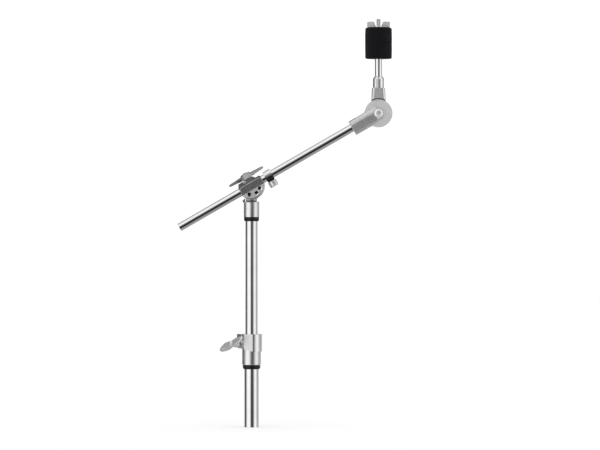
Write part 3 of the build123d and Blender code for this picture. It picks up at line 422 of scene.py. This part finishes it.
# ---------------------------------------------------------------- shapes of the felts
FELT_STEP = 0.6 * MM          # spacing of the mesh along the felt's section
FELT_SEGMENTS = 150
FELT_BORE = 4.9 * MM
FELT_BULGE = 0.30 * MM        # the pair stands out this much at mid height
LUMPS = 0.22 * MM             # unevenness of the pressed wool
LUMP_SCALE = 110.0            # noise scales count features per metre
FINE_LUMP_SCALE = 420.0
LAYER_SCALE = 900.0
RIM_SCALE = 260.0
SIDE_START = 0.72             # the lumps start this share of the radius out
SIDE_BLEND = 0.2              # and are full after this share more
FUZZ_COUNT = 2600
FUZZ_LENGTH = (0.5 * MM, 1.3 * MM)
FUZZ_WIDTH = 0.05 * MM
FUZZ_INSET = 1.5 * MM         # the fuzz keeps this far from the felt's ends
FUZZ_ROOT = 0.15 * MM         # its roots are this deep
FLANGE_HEIGHT = 1.8 * MM      # the seat sleeve's flange, which the lower felt stands round
FLANGE_RECESS = 12.3 * MM
NUT_RECESS = (7.4 * MM, 8.0 * MM)     # radius and depth in the upper felt


def rounded_corner(centre, radius, start, end, steps):
    """Points of a round corner in a felt's section, start and end in degrees."""
    points = []
    for index in range(steps + 1):
        angle = math.radians(start + (end - start) * index / steps)
        points.append((centre[0] + radius * math.cos(angle), centre[1] + radius * math.sin(angle)))
    return points


def spaced(points, step):
    """The closed line through points, with no two neighbours further apart than step."""
    line = []
    for (r0, z0), (r1, z1) in zip(points, points[1:] + points[:1]):
        pieces = max(1, math.ceil(math.hypot(r1 - r0, z1 - z0) / step))
        for index in range(pieces):
            share = index / pieces
            line.append((r0 + (r1 - r0) * share, z0 + (z1 - z0) * share))
    return line


def felt_section(
    radius, bottom, top, foot_round, head_round, foot_bore, foot_depth, head_bore, head_depth
):
    """Section of a felt ring: radius and height of each corner, from the bore's foot outwards."""
    corners = [(foot_bore, bottom)]
    corners += rounded_corner((radius - foot_round, bottom + foot_round), foot_round, -90, 0, 6)
    corners += rounded_corner((radius - head_round, top - head_round), head_round, 0, 90, 8)
    corners.append((head_bore, top))
    if head_depth:
        corners += [(head_bore, top - head_depth), (FELT_BORE, top - head_depth)]
    if foot_depth:
        corners += [(FELT_BORE, bottom + foot_depth), (foot_bore, bottom + foot_depth)]
    return corners


def wool(place, scale, offset):
    return noise.noise(place * scale + Vector((offset, 0, 0)))


def bulge(height, pair):
    """How far the pair of felts stands out at a height; pair is the pair's bottom and top."""
    low, high = pair
    return FELT_BULGE * math.sin(math.pi * ((height - low) / (high - low)))


def pressed_point(way, r, z, radius, mid_height, pair, seed):
    """A point of the felt's section, moved by the wool's lumps and layers."""
    place = way * r + Vector((0, 0, z))
    outer = max(0.0, min(1.0, (r / radius - SIDE_START) / SIDE_BLEND))
    lump = wool(place, LUMP_SCALE, seed) + 0.5 * wool(place, FINE_LUMP_SCALE, seed + 7)
    flattened = Vector((place.x * 0.25, place.y * 0.25, place.z))
    layer = wool(flattened, LAYER_SCALE, seed + 13)
    out = bulge(z, pair) + LUMPS * lump + 0.25 * LUMPS * layer
    place += way * (out * outer)
    rim = outer * (LUMPS * 0.6) * wool(place, RIM_SCALE, seed + 21)
    place.z += rim if z > mid_height else abs(rim)
    return place


def ring_faces(count):
    """Faces that join a section of count points round the felt."""
    faces = []
    for segment in range(FELT_SEGMENTS):
        following = (segment + 1) % FELT_SEGMENTS
        for index in range(count):
            after = (index + 1) % count
            faces.append((
                segment * count + index,
                following * count + index,
                following * count + after,
                segment * count + after,
            ))
    return faces


class Draws:
    """Repeatable random numbers from a seed."""

    def __init__(self, seed):
        self.state = seed * 7919 + 12345

    def between(self, low, high):
        self.state = (1103515245 * self.state + 12345) % 2**31
        return low + (high - low) * self.state / 2**31


def add_fuzz(points, faces, low, high, pair, seed):
    """Loose fibres that lie nearly flat on the felt's side."""
    centre = (low + high) / 2
    radius = (high.x - low.x) / 2
    draws = Draws(seed)
    for _ in range(FUZZ_COUNT):
        angle = draws.between(0, 2 * math.pi)
        height = draws.between(low.z + FUZZ_INSET, high.z - FUZZ_INSET)
        length = draws.between(*FUZZ_LENGTH)
        way = Vector((math.cos(angle), math.sin(angle), 0))
        around = Vector((-way.y, way.x, 0))
        reach = radius + bulge(height, pair) - FUZZ_ROOT
        root = Vector((centre.x, centre.y, height)) + way * reach
        lie = around * draws.between(-1, 1) + Vector((0, 0, draws.between(-1, 1)))
        bend = root + way * (0.22 * length) + lie * (0.35 * length)
        tip = root + way * (0.30 * length) + lie * (0.75 * length)
        across = way.cross(lie).normalized() * (FUZZ_WIDTH / 2)
        first = len(points)
        points += [root - across, root + across, bend + across, bend - across, tip]
        faces += [(first, first + 1, first + 2, first + 3), (first + 3, first + 2, first + 4)]


def make_felt_ring(name, node, pair, seed, **section):
    """A pressed felt in place of its plain CAD solid: uneven matted sides, soft rims and loose fuzz."""
    low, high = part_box(node)
    low, high = Vector(low), Vector(high)
    centre = (low + high) / 2
    radius = (high.x - low.x) / 2
    line = spaced(felt_section(radius, low.z, high.z, **section), FELT_STEP)
    foot = Vector((centre.x, centre.y, 0))
    points = []
    for segment in range(FELT_SEGMENTS):
        angle = 2 * math.pi * segment / FELT_SEGMENTS
        way = Vector((math.cos(angle), math.sin(angle), 0))
        for r, z in line:
            points.append(foot + pressed_point(way, r, z, radius, (low.z + high.z) / 2, pair, seed))
    faces = ring_faces(len(line))
    add_fuzz(points, faces, low, high, pair, seed)
    mesh = bpy.data.meshes.new(name)
    mesh.from_pydata(points, [], faces)
    mesh.validate()
    for face in mesh.polygons:
        face.use_smooth = True
    felt = bpy.data.objects.new(name, mesh)
    scene.collection.objects.link(felt)
    mesh.materials.append(MATERIAL_OF_SLOT["felt"])
    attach(felt, "tilter_top")
    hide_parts(node)


felt_pair = (Vector(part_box("felt_lower")[0]).z, Vector(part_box("felt_upper")[1]).z)
flange_top = Vector(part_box("seat_sleeve")[0]).z + FLANGE_HEIGHT
make_felt_ring(
    "wool_felt_lower", "felt_lower", felt_pair, seed=3,
    foot_round=1.8 * MM, head_round=0.5 * MM,
    foot_bore=FLANGE_RECESS, foot_depth=flange_top - felt_pair[0], head_bore=FELT_BORE, head_depth=0,
)
make_felt_ring(
    "wool_felt_upper", "felt_upper", felt_pair, seed=5,
    foot_round=0.5 * MM, head_round=3.6 * MM,
    foot_bore=FELT_BORE, foot_depth=0, head_bore=NUT_RECESS[0], head_depth=NUT_RECESS[1],
)


# ---------------------------------------------------------------- stage, light and camera
FLOOR_HALF = 12.0
# degrees clockwise from the front, and brightness of the studio there
STUDIO_STOPS = [
    (-180, 0.75), (-150, 0.60), (-122, 0.10), (-100, 0.06), (-84, 0.60), (-66, 1.15), (-30, 1.15),
    (-17, 0.75), (-6, 0.09), (18, 0.06), (30, 0.32), (46, 0.95), (72, 1.15), (88, 0.70),
    (108, 0.36), (135, 0.62), (180, 0.75),
]
BACKDROP = 1.13           # brightness of the white that is seen directly
CEILING = 1.0             # brightnesses that only show in reflections
BACK_WALL = 0.14
LOW_FRONT = 0.012
FLOOR_GLOW = 0.34


def make_stage():
    mesh = bpy.data.meshes.new("floor")
    corners = [(-1, -1, 0), (1, -1, 0), (1, 1, 0), (-1, 1, 0)]
    mesh.from_pydata([Vector(corner) * FLOOR_HALF for corner in corners], [], [(0, 1, 2, 3)])
    floor = bpy.data.objects.new("floor", mesh)
    scene.collection.objects.link(floor)
    material, kit, shader, place = new_material("pale_floor")
    patches = kit.noise(place, 3.0, 3.0)
    link(kit, kit.mix(patches, grey(0.90), grey(0.94)), shader, "Base Color")
    shader.inputs["Roughness"].default_value = 0.9
    mesh.materials.append(material)
    floor.visible_glossy = False


def studio_round(kit, azimuth):
    """Brightness of the studio's walls, by the way one looks."""
    around = kit.remap(azimuth, -math.pi, math.pi, 0.0, 1.0)
    ramp = kit.add("ShaderNodeValToRGB", {"Fac": around})
    elements = ramp.color_ramp.elements
    elements[0].position = 0.0
    elements[-1].position = 1.0
    for angle, _ in STUDIO_STOPS[1:-1]:
        elements.new(angle / 360 + 0.5)
    for element, (_, value) in zip(elements, STUDIO_STOPS):
        element.color = grey(value)
    return ramp.outputs[0]


def make_world():
    """White studio: plain white to the eye, with darker stretches between soft boxes in reflections."""
    world = bpy.data.worlds.new("studio")
    scene.world = world
    world.use_nodes = True
    tree = world.node_tree
    tree.nodes.clear()
    kit = Nodes(tree)
    direction = kit.add("ShaderNodeTexCoord").outputs["Generated"]
    parts = kit.add("ShaderNodeSeparateXYZ", {0: direction})
    depth = parts.outputs["Y"]
    height = parts.outputs["Z"]
    azimuth = kit.math("ARCTAN2", parts.outputs["X"], kit.math("MULTIPLY", depth, -1.0))
    overhead = kit.remap(height, 0.35, 0.95, 0.0, 0.75)
    lit = kit.mix(overhead, studio_round(kit, azimuth), grey(CEILING))
    # a dark wall behind the stand, which shows along upper edges
    behind = kit.remap(depth, 0.30, 0.55, 0.0, 0.85)
    wall = kit.math("MULTIPLY", behind, kit.remap(height, 0.03, 0.12, 0.0, 1.0))
    wall = kit.math("MULTIPLY", wall, kit.remap(height, 0.60, 0.90, 1.0, 0.0))
    upper = kit.mix(wall, lit, grey(BACK_WALL))
    # black low in front, where the sloping boom's lower face looks, paler again towards the floor
    dip = kit.remap(height, -0.02, -0.12, 0.0, 0.95)
    dip = kit.math("MULTIPLY", dip, kit.remap(azimuth, -0.15, -0.05, 0.0, 1.0))
    dip = kit.math("MULTIPLY", dip, kit.remap(azimuth, 0.60, 0.85, 1.0, 0.0))
    dipped = kit.mix(dip, upper, grey(LOW_FRONT))
    floor_glow = kit.remap(height, -0.45, -0.85, 0.0, 1.0)
    mirrored = kit.mix(floor_glow, dipped, grey(FLOOR_GLOW))
    seen = kit.add("ShaderNodeLightPath")
    shown = kit.mix(seen.outputs["Is Glossy Ray"], grey(BACKDROP), mirrored)
    background = kit.add("ShaderNodeBackground", {"Color": shown, "Strength": 1.0})
    output = kit.add("ShaderNodeOutputWorld")
    tree.links.new(background.outputs[0], output.inputs[0])


FRAME_WIDTH = 0.915       # width of the view at the stand, as in the reference
FRAME_CENTRE = Vector((0.074, 0.0, 0.3085))
CAMERA_DISTANCE = 6.0


def make_camera():
    data = bpy.data.cameras.new("camera")
    data.sensor_width = 36.0
    data.lens = data.sensor_width * CAMERA_DISTANCE / FRAME_WIDTH
    data.clip_end = 60.0
    camera = bpy.data.objects.new("camera", data)
    scene.collection.objects.link(camera)
    camera.location = FRAME_CENTRE + Vector((0, TILTER_CENTRE.y - CAMERA_DISTANCE, 0))
    camera.rotation_euler = (math.radians(90), 0, 0)
    scene.camera = camera


make_stage()
make_world()
make_camera()
scene.view_settings.view_transform = "Standard"
